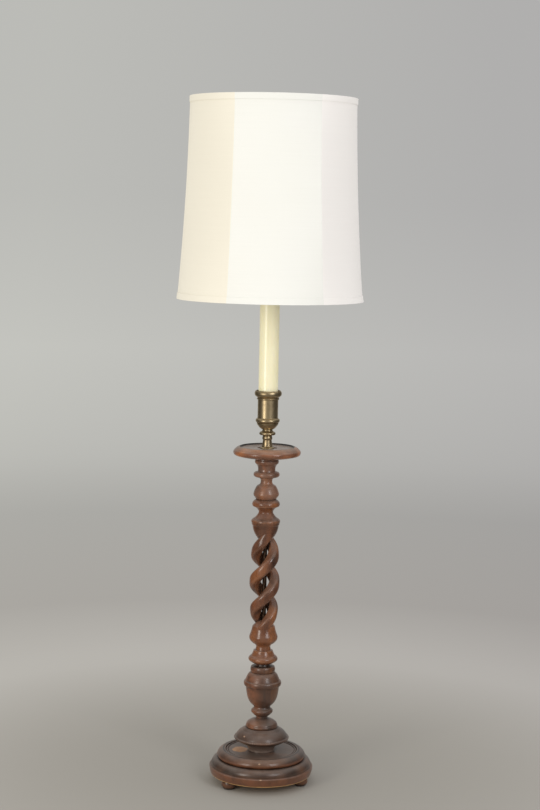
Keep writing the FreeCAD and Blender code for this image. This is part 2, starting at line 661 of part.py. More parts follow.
def make_switch_shaft():
    """Shaft of the turn switch, through the front of the lamp holder."""
    length = HOLDER_RADIUS - SWITCH_SHAFT_DEPTH + SWITCH_SHAFT_REACH - THREAD_GAP
    start = Vector(0, -SWITCH_SHAFT_DEPTH - THREAD_GAP, SWITCH_Z)
    return cylinder(SWITCH_SHAFT_RADIUS, start, Vector(0, -1, 0), length)


def make_switch_key():
    """Flat turn key pushed on the shaft."""
    front = HOLDER_RADIUS + SWITCH_SHAFT_REACH - KEY_SOCKET
    wing = Part.makeBox(KEY_WIDTH, KEY_LENGTH, KEY_THICKNESS - 2 * KEY_WALL,
                        Vector(-KEY_WIDTH / 2, -front - KEY_LENGTH, SWITCH_Z - KEY_THICKNESS / 2 + KEY_WALL))
    corners = [edge for edge in wing.Edges if abs(edge.BoundBox.ZLength) > 0.1]
    wing = wing.makeFillet(KEY_WIDTH / 4, corners)
    hub = cylinder(SWITCH_SHAFT_RADIUS + KEY_WALL, Vector(0, -front, SWITCH_Z), Vector(0, -1, 0),
                   KEY_LENGTH - KEY_WALL)
    socket = cylinder(SWITCH_SHAFT_RADIUS + KEY_FIT, Vector(0, -front, SWITCH_Z), Vector(0, -1, 0),
                      KEY_SOCKET)
    return wing.fuse(hub).cut(socket)


def make_bulb_base():
    """Screw base of the bulb with its tip."""
    shoulder = BULB_Z + BULB_TIP_HEIGHT
    return revolved([
        (0.0, BULB_Z), (CONTACT_RADIUS, BULB_Z), (BULB_TIP_RADIUS, shoulder),
        (BULB_BASE_RADIUS, shoulder + 2.0), (BULB_BASE_RADIUS, GLASS_Z),
        (0.0, GLASS_Z)])


def make_bulb_glass():
    """Pear-shaped glass on the base."""
    neck = BULB_BASE_RADIUS
    ball_z = GLASS_Z + BULB_HEIGHT - BULB_RADIUS
    wall = BULB_GLASS_WALL
    neck_z = GLASS_Z + BULB_NECK_HEIGHT
    flank = (BULB_RADIUS * 0.8, (neck_z + ball_z) / 2 + 1.0)
    crown = math.sqrt(0.5)
    inner = BULB_RADIUS - wall
    return revolved([
        (neck, GLASS_Z), (BULB_NECK_RADIUS, neck_z),
        flank + (BULB_RADIUS, ball_z),
        (BULB_RADIUS * crown, ball_z + BULB_RADIUS * crown, 0.0, ball_z + BULB_RADIUS),
        (0.0, ball_z + inner),
        (inner * crown, ball_z + inner * crown, inner, ball_z),
        (flank[0] - wall, flank[1], BULB_NECK_RADIUS - wall, neck_z),
        (neck - wall, GLASS_Z)])


# ---------------------------------------------------------------- harp


def make_saddle():
    """Steel strip under the lamp holder with two upright ears for the harp."""
    strip = Part.makeBox(SADDLE_SPAN, SADDLE_WIDTH, SADDLE_THICKNESS,
                         Vector(-SADDLE_SPAN / 2, -SADDLE_WIDTH / 2, SADDLE_Z))
    pieces = []
    for side in (-1, 1):
        x = side * SADDLE_SPAN / 2
        pieces.append(cylinder(SADDLE_WIDTH / 2, Vector(x, 0, SADDLE_Z), Vector(0, 0, 1), SADDLE_THICKNESS))
        pieces.append(cylinder(EAR_RADIUS, Vector(x, 0, SADDLE_Z), Vector(0, 0, 1),
                               SADDLE_THICKNESS + EAR_HEIGHT))
        pieces.append(cylinder(EAR_SHOULDER_RADIUS, Vector(x, 0, SADDLE_Z), Vector(0, 0, 1),
                               EAR_TOP_Z - FERRULE_OVERLAP - SEAT_GAP - SADDLE_Z))
    hole = cylinder(PIPE_HOLE, Vector(0, 0, SADDLE_Z - CUT_OVERLAP), Vector(0, 0, 1),
                    SADDLE_THICKNESS + 2 * CUT_OVERLAP)
    return strip.fuse(pieces).cut(hole)


def make_harp():
    """Bent wire harp with a block and a threaded stud on top."""
    foot, wide, top = SADDLE_SPAN / 2, HARP_WIDTH / 2, HARP_TOP_SPAN / 2
    leg_z = HARP_START_Z + HARP_LEG
    side_z = leg_z + HARP_FLARE
    shoulder_z = side_z + HARP_SIDE
    right = [Vector(foot, 0, HARP_START_Z), Vector(foot, 0, leg_z), Vector(wide, 0, side_z),
             Vector(wide, 0, shoulder_z), Vector(top, 0, HARP_TOP_Z)]
    left = [Vector(-point.x, 0, point.z) for point in reversed(right)]
    bends = [HARP_SMALL_BEND, HARP_SMALL_BEND, HARP_SMALL_BEND, HARP_TOP_BEND]
    wire = bent_wire(right + left, bends + bends[::-1], WIRE_RADIUS)
    block = cylinder(HARP_BLOCK_RADIUS, Vector(0, 0, HUB_SEAT_Z - HARP_BLOCK_HEIGHT), Vector(0, 0, 1),
                     HARP_BLOCK_HEIGHT)
    stud = cylinder(STUD_RADIUS, Vector(0, 0, HUB_SEAT_Z - CUT_OVERLAP), Vector(0, 0, 1),
                    STUD_LENGTH + CUT_OVERLAP)
    return wire.fuse([block, stud])


def make_ferrule(side):
    """Sliding ferrule that locks one harp leg to its ear."""
    ferrule = tube(FERRULE_RADIUS, FERRULE_BORE, EAR_TOP_Z - FERRULE_OVERLAP, FERRULE_LENGTH)
    ferrule.translate(Vector(side * SADDLE_SPAN / 2, 0, 0))
    return ferrule


# ---------------------------------------------------------------- shade


def shade_radius(z):
    """Radius of the shade at its ribs: a straight taper, slightly hollow."""
    share = (z - SHADE_Z) / SHADE_HEIGHT
    straight = SHADE_BOTTOM_RADIUS + (SHADE_TOP_RADIUS - SHADE_BOTTOM_RADIUS) * share
    return straight - SHADE_WAIST * 4 * share * (1 - share)


def panel_sag(z):
    """How far the cloth half way between two ribs lies inside the round of the rings."""
    share = min(max((z - SHADE_Z) / SHADE_HEIGHT, 0.0), 1.0)
    return PANEL_SAG * abs(math.sin(math.pi * share)) ** 0.7


def panel_outline(z, offset):
    """Level outline of the shade: six flattened arcs that meet at the ribs."""
    radius = shade_radius(z) - offset
    step = 360 / RIB_COUNT
    edges = []
    for count in range(RIB_COUNT):
        angle = RIB_START_ANGLE + step * count
        crown = around(angle + step / 2, radius - panel_sag(z), z)
        edges.append(Part.Arc(around(angle, radius, z), crown, around(angle + step, radius, z)).toShape())
    return Part.Wire(edges)


def shade_body(offset):
    """Solid block with the shade's outline, moved inwards by an offset."""
    heights = [SHADE_Z + SHADE_HEIGHT * count / (PANEL_LEVELS - 1) for count in range(PANEL_LEVELS)]
    return Part.makeLoft([panel_outline(z, offset) for z in heights], True, False)


def shade_wall(offset, thickness):
    """Thin wall that follows the six panels of the shade from the bottom to the top edge."""
    return shade_body(offset).cut(shade_body(offset + thickness))


def make_trim(z):
    """Narrow band round the outside of the cloth, up from a level."""
    slab = cylinder(SHADE_BOTTOM_RADIUS + TRIM_HEIGHT, Vector(0, 0, z), Vector(0, 0, 1), TRIM_HEIGHT)
    return shade_wall(0.0, TRIM_THICKNESS).common(slab)


def make_shade_frame():
    """Welded wire frame: two rings, six ribs and a three-armed spider with a washer hub."""
    wire_offset = TRIM_THICKNESS + TRIM_GAP + FABRIC_THICKNESS + WIRE_GAP + RING_WIRE_RADIUS
    low_z = SHADE_Z + SEAT_GAP + RING_WIRE_RADIUS
    high_z = SHADE_TOP_Z - SEAT_GAP - RING_WIRE_RADIUS
    middle_z = (low_z + high_z) / 2
    low, middle, high = [(shade_radius(z) - wire_offset, z) for z in (low_z, middle_z, high_z)]
    top_ring = Part.makeTorus(high[0], RING_WIRE_RADIUS, Vector(0, 0, high[1]))
    bottom_ring = Part.makeTorus(low[0], RING_WIRE_RADIUS, Vector(0, 0, low[1]))
    pieces = [bottom_ring]
    for count in range(RIB_COUNT):
        angle = RIB_START_ANGLE + 360 * count / RIB_COUNT
        start, crown, end = [around(angle, point[0], point[1]) for point in (low, middle, high)]
        arc = Part.Arc(start, crown, end)
        tangent = arc.toShape().tangentAt(arc.toShape().FirstParameter)
        section = Part.Wire([Part.makeCircle(RIB_RADIUS, start, tangent)])
        pieces.append(Part.Wire([arc.toShape()]).makePipeShell([section], True, False))
    hub_mid = HUB_Z + HUB_THICKNESS / 2
    for count in range(ARM_COUNT):
        angle = ARM_START_ANGLE + 360 * count / ARM_COUNT
        start, end = around(angle, HUB_RADIUS - 2.0, hub_mid), around(angle, high[0], high[1])
        pieces.append(cylinder(RIB_RADIUS, start, end - start, (end - start).Length))
    hub = cylinder(HUB_RADIUS, Vector(0, 0, HUB_Z), Vector(0, 0, 1), HUB_THICKNESS)
    hole = cylinder(STUD_RADIUS + THREAD_GAP, Vector(0, 0, HUB_Z - CUT_OVERLAP), Vector(0, 0, 1),
                    HUB_THICKNESS + 2 * CUT_OVERLAP)
    return top_ring.fuse(pieces + [hub]).cut(hole)


def make_finial():
    """Turned brass finial with a threaded blind hole for the harp's stud."""
    outline = turned_path(FINIAL_START, FINIAL_Z, FINIAL)
    hole = STUD_RADIUS + THREAD_GAP
    top = FINIAL_Z + height_of(FINIAL)
    outline += [(0.0, top), (0.0, FINIAL_Z + FINIAL_SOCKET), (hole, FINIAL_Z + FINIAL_SOCKET), (hole, FINIAL_Z)]
    return revolved(outline)


# ---------------------------------------------------------------- write all nodes

os.makedirs("parts", exist_ok=True)

for foot_name, foot_angle in FOOT_ANGLES.items():
    save(foot_name, make_foot(foot_angle))
save("foot_screws", make_foot_screws())
save("base_plinth", make_plinth())
save("base_step", make_step())
save("base_dome", turned(DOME_START, DOME_Z, DOME, PIPE_HOLE))
save("cord_bushing", make_bushing())
save("bottom_washer", tube(WASHER_RADIUS, PIPE_HOLE, RECESS_TOP_Z - WASHER_THICKNESS, WASHER_THICKNESS))
save("lock_nut", make_nut())
save("lamp_pipe", make_pipe())

save("lower_urn", turned(LOWER_URN_START, LOWER_URN_Z, LOWER_URN, PIPE_HOLE))
save("twist_column", make_twist_column())
save("bulb_turning", turned(BULB_TURNING_START, BULB_TURNING_Z, BULB_TURNING, PIPE_HOLE))
save("vase_turning", turned(VASE_START, VASE_Z, VASE, PIPE_HOLE))
save("drip_pan", make_pan())

save("brass_stem", turned(STEM_START, STEM_Z, STEM, PIPE_HOLE))
save("candle_cup", make_cup())
save("candle_sleeve", tube(SLEEVE_RADIUS, SLEEVE_RADIUS - SLEEVE_WALL, SLEEVE_Z, SLEEVE_LENGTH))
save("sleeve_cap", make_sleeve_cap())

save("holder_cap", make_holder_cap())
save("holder_shell", make_holder_shell())
save("holder_liner", make_holder_liner())
save("holder_insulator", make_insulator())
save("screw_shell", make_screw_shell())
save("centre_contact", make_contact())
save("switch_shaft", make_switch_shaft())
save("switch_key", make_switch_key())
save("bulb_base", make_bulb_base())
save("bulb_glass", make_bulb_glass())

save("harp_saddle", make_saddle())
save("harp", make_harp())
save("ferrule_left", make_ferrule(-1))
save("ferrule_right", make_ferrule(1))

save("shade_fabric", shade_wall(TRIM_THICKNESS + TRIM_GAP, FABRIC_THICKNESS))
save("shade_trim_top", make_trim(SHADE_TOP_Z - TRIM_HEIGHT))
save("shade_trim_bottom", make_trim(SHADE_Z))
save("shade_frame", make_shade_frame())
save("finial", make_finial())

print("pan seat", PAN_SEAT_Z, "sleeve", SLEEVE_Z, SLEEVE_TOP_Z, "harp top", HARP_TOP_Z, "finial top",
      FINIAL_Z + height_of(FINIAL), "urn", UPPER_URN_Z, "pan", PAN_Z, "cup", CUP_Z, CUP_TOP_Z)
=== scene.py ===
import math

import bpy
import numpy as np
from mathutils import Matrix, Vector


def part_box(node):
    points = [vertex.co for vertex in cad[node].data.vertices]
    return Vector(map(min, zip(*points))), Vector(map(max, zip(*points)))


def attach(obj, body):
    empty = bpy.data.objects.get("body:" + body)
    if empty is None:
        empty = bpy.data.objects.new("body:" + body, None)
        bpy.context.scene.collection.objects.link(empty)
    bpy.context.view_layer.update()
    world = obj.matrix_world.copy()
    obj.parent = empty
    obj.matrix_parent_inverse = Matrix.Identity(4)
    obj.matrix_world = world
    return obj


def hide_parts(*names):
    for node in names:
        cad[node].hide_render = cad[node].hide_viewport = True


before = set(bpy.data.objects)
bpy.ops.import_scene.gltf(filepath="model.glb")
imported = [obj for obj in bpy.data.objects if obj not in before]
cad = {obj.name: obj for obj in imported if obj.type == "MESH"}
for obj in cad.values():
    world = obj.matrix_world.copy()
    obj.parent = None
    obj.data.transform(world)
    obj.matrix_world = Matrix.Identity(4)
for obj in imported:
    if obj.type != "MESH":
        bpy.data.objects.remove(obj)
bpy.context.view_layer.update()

# ---------------------------------------------------------------- camera
# A long lens a little under four metres in front of the lamp, a little above its middle, looks slightly
# down. It is rolled a little, so that the column leans to the right as in the picture.
LENS = 78.76
LONG_SENSOR_SIDE = 36.0
CAMERA_DISTANCE = 3.9556
CAMERA_HEIGHT = 1.3089
CAMERA_SIDE = 0.0045
LOOK_DOWN = 6.36
ROLL = 1.146

camera_data = bpy.data.cameras.new("camera")
camera_data.lens = LENS
camera_data.sensor_width = LONG_SENSOR_SIDE
camera_data.sensor_fit = "AUTO"
camera = bpy.data.objects.new("camera", camera_data)
bpy.context.scene.collection.objects.link(camera)
tilt = Matrix.Rotation(math.radians(90 - LOOK_DOWN), 4, "X") @ Matrix.Rotation(math.radians(ROLL), 4, "Z")
camera.matrix_world = Matrix.Translation((CAMERA_SIDE, -CAMERA_DISTANCE, CAMERA_HEIGHT)) @ tilt
bpy.context.scene.camera = camera


# ---------------------------------------------------------------- studio
# A matte grey bowl: a flat floor that curves up into the wall far behind, so no edge shows. Near the lamp
# it takes light and shadow, farther out it glows in slightly different greys. Two tall soft boxes stand in
# front at the left and the right, and one hangs overhead.
FLOOR_RADIUS = 5.0
WALL_RADIUS = 8.5
WALL_HEIGHT = 7.0
FLOOR_NEAR = "a9a59e"
GLOW = ((0.0, "aeaaa3"), (1.1, "b6b3ae"), (1.9, "a6a39f"), (3.6, "a7a6a3"), (6.3, "bdbdba"), (7.2, "b5b5b3"))
GLOW_REACH = 8.5
LEFT_TINT = (1.08, 1.08, 1.05)
RIGHT_TINT = (0.94, 0.93, 0.94)
FRONT_GLOSS = 0.55
SIDE_GLOSS = 0.12
DIFFUSE_GLOW = 1.55
WORLD_STRENGTH = 0.58
WARM_WHITE = (1.0, 0.955, 0.88)
COOL_WHITE = (0.98, 0.985, 1.0)
PLAIN_WHITE = (1.0, 1.0, 1.0)


def linear(code):
    """The linear colour of an sRGB hex code, with alpha 1."""
    parts = [int(code[place:place + 2], 16) / 255 for place in (0, 2, 4)]
    return tuple(c / 12.92 if c <= 0.04045 else ((c + 0.055) / 1.055) ** 2.4 for c in parts) + (1.0,)


def add(tree, kind, links=(), **settings):
    """Adds a node: settings are its properties, links are (input, value or socket) pairs."""
    node = tree.nodes.new(kind)
    for name, value in settings.items():
        setattr(node, name, value)
    for key, value in links:
        if isinstance(value, bpy.types.NodeSocket):
            tree.links.new(value, node.inputs[key])
        else:
            node.inputs[key].default_value = value
    return node


def new_material(name):
    """An empty material with its output node."""
    material = bpy.data.materials.new(name)
    material.use_nodes = True
    material.node_tree.nodes.clear()
    return material, material.node_tree, add(material.node_tree, "ShaderNodeOutputMaterial")


def grid_piece(name, points, loop_u=False, loop_v=False):
    """A mesh from a (rows, columns, 3) array of points; a direction that loops is joined to its start."""
    rows, columns = points.shape[:2]
    index = np.arange(rows * columns).reshape(rows, columns)
    if loop_u:
        index = np.vstack([index, index[:1]])
    if loop_v:
        index = np.hstack([index, index[:, :1]])
    faces = np.stack([index[:-1, :-1], index[:-1, 1:], index[1:, 1:], index[1:, :-1]], -1).reshape(-1, 4)
    mesh = bpy.data.meshes.new(name)
    mesh.from_pydata(points.reshape(-1, 3).tolist(), [], faces.tolist())
    mesh.shade_smooth()
    piece = bpy.data.objects.new(name, mesh)
    bpy.context.scene.collection.objects.link(piece)
    return piece


turn = np.linspace(0, 2 * np.pi, 96, endpoint=False)
rise = np.linspace(0, np.pi / 2, 24)
bowl_radius = np.concatenate([[0.001, 1.0, 2.5], FLOOR_RADIUS + (WALL_RADIUS - FLOOR_RADIUS) * np.sin(rise)])
bowl_height = np.concatenate([[0.0, 0.0, 0.0], WALL_HEIGHT * (1 - np.cos(rise))])
bowl = grid_piece("studio_bowl", np.stack([
    bowl_radius[:, None] * np.cos(turn), bowl_radius[:, None] * np.sin(turn),
    np.repeat(bowl_height[:, None], len(turn), 1)], -1), loop_v=True)
bowl_paint, tree, output = new_material("studio_paper")
place = add(tree, "ShaderNodeTexCoord").outputs["Object"]
parts = add(tree, "ShaderNodeSeparateXYZ", [(0, place)]).outputs
distance = add(tree, "ShaderNodeVectorMath", [(0, place)], operation="LENGTH").outputs["Value"]
far = add(tree, "ShaderNodeMapRange", [("Value", distance), ("From Min", 0.2), ("From Max", 1.3)],
          interpolation_type="SMOOTHSTEP").outputs[0]
reach = add(tree, "ShaderNodeMath", [(0, distance), (1, GLOW_REACH)], operation="DIVIDE").outputs[0]
ramp = add(tree, "ShaderNodeValToRGB", [(0, reach)])
while len(ramp.color_ramp.elements) < len(GLOW):
    ramp.color_ramp.elements.new(1.0)
for element, (where, code) in zip(ramp.color_ramp.elements, GLOW):
    element.position = where / GLOW_REACH
    element.color = linear(code)
sideways = add(tree, "ShaderNodeMapRange", [("Value", parts["X"]), ("From Min", -1.4),
                                            ("From Max", 1.4)]).outputs[0]
tint = add(tree, "ShaderNodeMix", [("Factor", sideways), (4, LEFT_TINT), (5, RIGHT_TINT)],
           data_type="VECTOR").outputs[1]
wall = add(tree, "ShaderNodeVectorMath", [(0, ramp.outputs[0]), (1, tint)], operation="MULTIPLY").outputs[0]
# gloss finds a bright room behind and in front of the lamp, and a dark one at its sides
bearing = add(tree, "ShaderNodeMath", [(0, parts["Y"]), (1, distance)], operation="DIVIDE").outputs[0]
behind = add(tree, "ShaderNodeMapRange", [("Value", bearing), ("From Min", 0.55), ("From Max", 0.95),
                                          ("To Min", SIDE_GLOSS)]).outputs[0]
ahead = add(tree, "ShaderNodeMapRange", [("Value", bearing), ("From Min", -0.2), ("From Max", -0.85),
                                         ("To Max", FRONT_GLOSS)]).outputs[0]
behind = add(tree, "ShaderNodeMath", [(0, behind), (1, ahead)], operation="MAXIMUM").outputs[0]
rays = add(tree, "ShaderNodeLightPath").outputs
unseen = add(tree, "ShaderNodeMix", [("Factor", rays["Is Glossy Ray"]), (2, DIFFUSE_GLOW),
                                     (3, behind)]).outputs[0]
direct = add(tree, "ShaderNodeMath", [(0, rays["Is Camera Ray"]), (1, rays["Is Transmission Ray"])],
             operation="MAXIMUM").outputs[0]
strength = add(tree, "ShaderNodeMix", [("Factor", direct), (2, unseen), (3, 1.0)]).outputs[0]
paper = add(tree, "ShaderNodeBsdfDiffuse", [("Color", linear(FLOOR_NEAR))]).outputs[0]
glow = add(tree, "ShaderNodeEmission", [("Color", wall), ("Strength", strength)]).outputs[0]
near_or_far = add(tree, "ShaderNodeMixShader", [(0, far), (1, paper), (2, glow)]).outputs[0]
tree.links.new(near_or_far, output.inputs[0])
bowl.data.materials.append(bowl_paint)

world = bpy.data.worlds.new("studio")
world.use_nodes = True
world.node_tree.nodes["Background"].inputs["Color"].default_value = PLAIN_WHITE + (1.0,)
world.node_tree.nodes["Background"].inputs["Strength"].default_value = WORLD_STRENGTH
bpy.context.scene.world = world
bpy.context.scene.view_settings.view_transform = "Standard"


def soft_box(name, place, aim, width, height, watts, colour):
    """A rectangular lamp at a place, turned to a point."""
    light = bpy.data.lights.new(name, "AREA")
    light.shape = "RECTANGLE"
    light.size, light.size_y, light.energy, light.color = width, height, watts, colour
    lamp = bpy.data.objects.new(name, light)
    bpy.context.scene.collection.objects.link(lamp)
    toward = (Vector(aim) - Vector(place)).to_track_quat("-Z", "Y")
    lamp.matrix_world = Matrix.Translation(place) @ toward.to_matrix().to_4x4()


soft_box("left_box", (-2.0, -2.3, 1.15), (0.0, 0.0, 1.0), 0.9, 1.5, 28.5, WARM_WHITE)
soft_box("right_box", (1.6, -2.3, 1.9), (0.0, 0.0, 1.25), 0.9, 1.3, 23.0, COOL_WHITE)
soft_box("top_box", (0.0, -0.6, 3.6), (0.0, 0.0, 0.6), 1.6, 1.6, 7.0, PLAIN_WHITE)


# ---------------------------------------------------------------- turned wood of base and column
# Hardwood, turned and carved, stained dark brown and varnished. Proud edges are orange-brown from wear and
# a painted highlight, and the stain of the upper turnings is orange-brown all over. Dust and a painted sheen
# grey the faces that look up, and painted shade keeps the hollows nearly black. The kind of wood can't be
# told from the picture.
STAIN_OLD = ("1c0f09", "3c2214", "5c3618")
STAIN_WARM = ("3d2012", "7c4524", "a96636")
LEFT_LIGHT_ORANGE = "96552e"
EDGE_WEAR_AND_HIGHLIGHT = ("94705c", "b87d52")
PAINTED_SHADE_TONES = ("0d0705", "2a1d17")
GREY_DUST_AND_SHEEN = "85766b"
BARE_WOOD = "c89a62"
PORE_SPACING_MM = 1.1
GRAIN_LENGTH_MM = 30.0
FIGURE_MM = 45.0
HOLLOW_MM = 11.0
PATCH_SCALE = 38.0
FIGURE_STRETCH = 0.26
AO_SAMPLES = 6
VARNISH_IOR = 1.52


def between(first, second, share):
    """A linear colour part of the way from one hex colour to another."""
    return tuple(a + (b - a) * share for a, b in zip(linear(first), linear(second)))


def stained_wood(name, upright=True, seed=0.0, warmth=0.0, top_dust_and_sheen=0.45, dust_and_sheen_tone=GREY_DUST_AND_SHEEN, haze=0.12, polish=0.3,
                 edge_mm=2.2, left_light_share=0.0):
    """Nodes for the stained wood; grain runs along Z, or along X in the discs. Returns material and sockets.

    Warmth is how brown the dark stain is. The next three arguments are dust with a painted sheen: how much of
    it lies on level places, its colour, and how much lies everywhere as a haze. The last argument is how much
    more orange the side facing left is painted, as painted warm light from the left; its strength is a guess.
    """
    material, tree, output = new_material(name)
    place = add(tree, "ShaderNodeTexCoord")
    along, across = 1000 / GRAIN_LENGTH_MM, 1000 / PORE_SPACING_MM
    grain_scale = (across, across, along) if upright else (along, across, across)
    figure = 1000 / FIGURE_MM
    figure_scale = (figure, figure, figure * FIGURE_STRETCH) if upright else (figure * FIGURE_STRETCH, figure,
                                                                              figure)
    grain_place = add(tree, "ShaderNodeMapping", [(0, place.outputs["Object"]), (1, (seed, seed, seed)),
                                                  (3, grain_scale)]).outputs[0]
    figure_place = add(tree, "ShaderNodeMapping", [(0, place.outputs["Object"]), (1, (seed, -seed, seed)),
                                                   (3, figure_scale)]).outputs[0]
    grain = add(tree, "ShaderNodeTexNoise", [("Vector", grain_place), ("Scale", 1.0), ("Detail", 4.0),
                                             ("Roughness", 0.6)]).outputs[0]
    figure = add(tree, "ShaderNodeTexNoise", [("Vector", figure_place), ("Scale", 1.0), ("Detail", 3.0),
                                              ("Distortion", 0.6)]).outputs[0]
    tone = add(tree, "ShaderNodeValToRGB", [(0, figure)])
    tone.color_ramp.elements.new(0.5)
    for element, where, old, warm in zip(tone.color_ramp.elements, (0.32, 0.5, 0.68), STAIN_OLD, STAIN_WARM):
        element.position = where
        element.color = between(old, warm, warmth)
    fleck = add(tree, "ShaderNodeMapRange", [("Value", grain), ("From Min", 0.35), ("From Max", 0.65),
                                             ("To Min", 0.62), ("To Max", 1.15)]).outputs[0]
    streaked = add(tree, "ShaderNodeVectorMath", [(0, tone.outputs[0]), (1, fleck)],
                   operation="MULTIPLY").outputs[0]
    # wear and a painted highlight follow the proud edges, broken up by a coarse noise
    patch = add(tree, "ShaderNodeTexNoise", [("Vector", place.outputs["Object"]), ("Scale", PATCH_SCALE),
                                             ("Detail", 5.0), ("Roughness", 0.65)]).outputs[0]
    thin = add(tree, "ShaderNodeAmbientOcclusion", [("Distance", edge_mm / 1000)], samples=AO_SAMPLES,
               inside=True, only_local=True).outputs["AO"]
    edge = add(tree, "ShaderNodeMapRange",
               [("Value", thin), ("From Min", 0.96), ("From Max", 0.8)]).outputs[0]
    patchy = add(tree, "ShaderNodeMapRange", [("Value", patch), ("From Min", 0.38), ("From Max", 0.6),
                                              ("To Min", 0.1), ("To Max", 0.75)]).outputs[0]
    worn = add(tree, "ShaderNodeMath", [(0, edge), (1, patchy)], operation="MULTIPLY").outputs[0]
    # painted shade: hollows and sheltered edges are painted nearly black, as far as the occlusion reaches
    open_air = add(tree, "ShaderNodeAmbientOcclusion", [("Distance", HOLLOW_MM / 1000)],
                   samples=AO_SAMPLES).outputs["AO"]
    painted_shade = add(tree, "ShaderNodeMapRange", [("Value", open_air), ("From Min", 0.82), ("From Max", 0.35),
                                              ("To Max", 0.9)]).outputs[0]
    in_open = add(tree, "ShaderNodeMapRange", [("Value", open_air), ("From Min", 0.75),
                                               ("From Max", 0.95)]).outputs[0]
    worn = add(tree, "ShaderNodeMath", [(0, worn), (1, in_open)], operation="MULTIPLY").outputs[0]
    normal = add(tree, "ShaderNodeSeparateXYZ", [(0, place.outputs["Normal"])])
    # painted warm light: the side facing left is painted more orange
    left_side = add(tree, "ShaderNodeMapRange", [("Value", normal.outputs["X"]), ("From Min", 0.15),
                                                 ("From Max", -0.75), ("To Max", left_light_share)]).outputs[0]
    painted_left_light = add(tree, "ShaderNodeMath", [(0, left_side), (1, patchy)], operation="MULTIPLY").outputs[0]
    streaked = add(tree, "ShaderNodeMix", [("Factor", painted_left_light), (6, streaked), (7, linear(LEFT_LIGHT_ORANGE))],
                   data_type="RGBA").outputs[2]
    coloured = add(tree, "ShaderNodeMix",
                   [("Factor", worn), (6, streaked), (7, between(*EDGE_WEAR_AND_HIGHLIGHT, warmth))],
                   data_type="RGBA").outputs[2]
    # dust and a painted sheen lie on what looks up
    level = add(tree, "ShaderNodeMapRange",
                [("Value", normal.outputs["Z"]), ("From Min", 0.3), ("From Max", 0.97),
                                             ("To Min", haze), ("To Max", top_dust_and_sheen)]).outputs[0]
    cloud = add(tree, "ShaderNodeMapRange", [("Value", patch), ("From Min", 0.3), ("From Max", 0.7),
                                             ("To Min", 0.5), ("To Max", 1.2)]).outputs[0]
    dust_and_sheen = add(tree, "ShaderNodeMath", [(0, level), (1, cloud)], operation="MULTIPLY").outputs[0]
    coloured = add(tree, "ShaderNodeMix", [("Factor", dust_and_sheen), (6, coloured), (7, linear(dust_and_sheen_tone))],
                   data_type="RGBA").outputs[2]
    coloured = add(tree, "ShaderNodeMix",
                   [("Factor", painted_shade), (6, coloured), (7, between(*PAINTED_SHADE_TONES, warmth))],
                   data_type="RGBA").outputs[2]
    gloss = add(tree, "ShaderNodeMapRange", [("Value", patch), ("From Min", 0.3), ("From Max", 0.7),
                                             ("To Min", polish - 0.05), ("To Max", polish + 0.1)]).outputs[0]
    rough = add(tree, "ShaderNodeMath", [(0, dust_and_sheen), (1, 0.35), (2, gloss)],
                operation="MULTIPLY_ADD").outputs[0]
    relief = add(tree, "ShaderNodeBump",
                 [("Strength", 0.25), ("Distance", 0.0002), ("Height", grain)]).outputs[0]
    shader = add(tree, "ShaderNodeBsdfPrincipled", [
        ("Base Color", coloured), ("Roughness", rough), ("IOR", VARNISH_IOR), ("Normal", relief),
        ("Coat Weight", 0.25), ("Coat Roughness", 0.17)])
    tree.links.new(shader.outputs[0], output.inputs[0])
    return material, tree, shader, coloured, place.outputs["Object"], patch


def distance_from_axis(tree, place):
    """Distance of the shaded point from the lamp's upright axis."""
    flat = add(tree, "ShaderNodeVectorMath", [(0, place), (1, (1.0, 1.0, 0.0))],
               operation="MULTIPLY").outputs[0]
    return add(tree, "ShaderNodeVectorMath", [(0, flat)], operation="LENGTH").outputs["Value"]


def bare_spot(tree, place, patch, colour, centre, half, paint_of_spot):
    """Mixes a ragged bare spot of a given centre and half sizes into a colour."""
    offset = add(tree, "ShaderNodeVectorMath", [(0, place), (1, centre)], operation="SUBTRACT").outputs[0]
    spread = add(tree, "ShaderNodeVectorMath", [(0, offset), (1, tuple(1 / size for size in half))],
                 operation="MULTIPLY").outputs[0]
    reach = add(tree, "ShaderNodeVectorMath", [(0, spread)], operation="LENGTH").outputs["Value"]
    ragged = add(tree, "ShaderNodeMath", [(0, patch), (1, 1.3), (2, -0.65)],
                 operation="MULTIPLY_ADD").outputs[0]
    ragged = add(tree, "ShaderNodeMath", [(0, reach), (1, ragged)], operation="ADD").outputs[0]
    bare = add(tree, "ShaderNodeMapRange",
               [("Value", ragged), ("From Min", 1.0), ("From Max", 0.88)]).outputs[0]
    return add(tree, "ShaderNodeMix", [("Factor", bare), (6, colour), (7, paint_of_spot)],
               data_type="RGBA").outputs[2]


def paint(node, material):
    """Gives a whole CAD node one material."""
    cad[node].data.materials.clear()
    cad[node].data.materials.append(material)


paint("lower_urn", stained_wood("stained_hardwood_dark", seed=1.7, warmth=0.15, haze=0.14, left_light_share=1.0)[0])
paint("twist_column", stained_wood("stained_hardwood_carved", seed=4.4, warmth=0.62, haze=0.1, polish=0.22,
                                   edge_mm=5.0, left_light_share=0.4)[0])
upper_wood = stained_wood("stained_hardwood_worn_brown", warmth=0.9, top_dust_and_sheen=0.5, dust_and_sheen_tone="a08d80", haze=0.24,
                          polish=0.2)[0]
for node in ("bulb_turning", "vase_turning"):
    paint(node, upper_wood)

# ---------------------------------------------------------------- drip pan and feet
# The pan is of the same worn wood; its floor is paler with dust and a painted sheen. A painted shadow runs
# as a dark line under the inside of the rim. The feet have the wood of the base.
PAN_PALE_FLOOR_RADIUS = 0.0585
PAN_PALE_FLOOR_BLUR = 0.0008
PAN_RIM_SHADOW_RADIUS = 0.0625
PAN_RIM_SHADOW_BLUR = 0.0006
PAN_RIM_SHADOW = "2b211c"
PAN_FLOOR_TONES = ("a3948a", "8f7868")

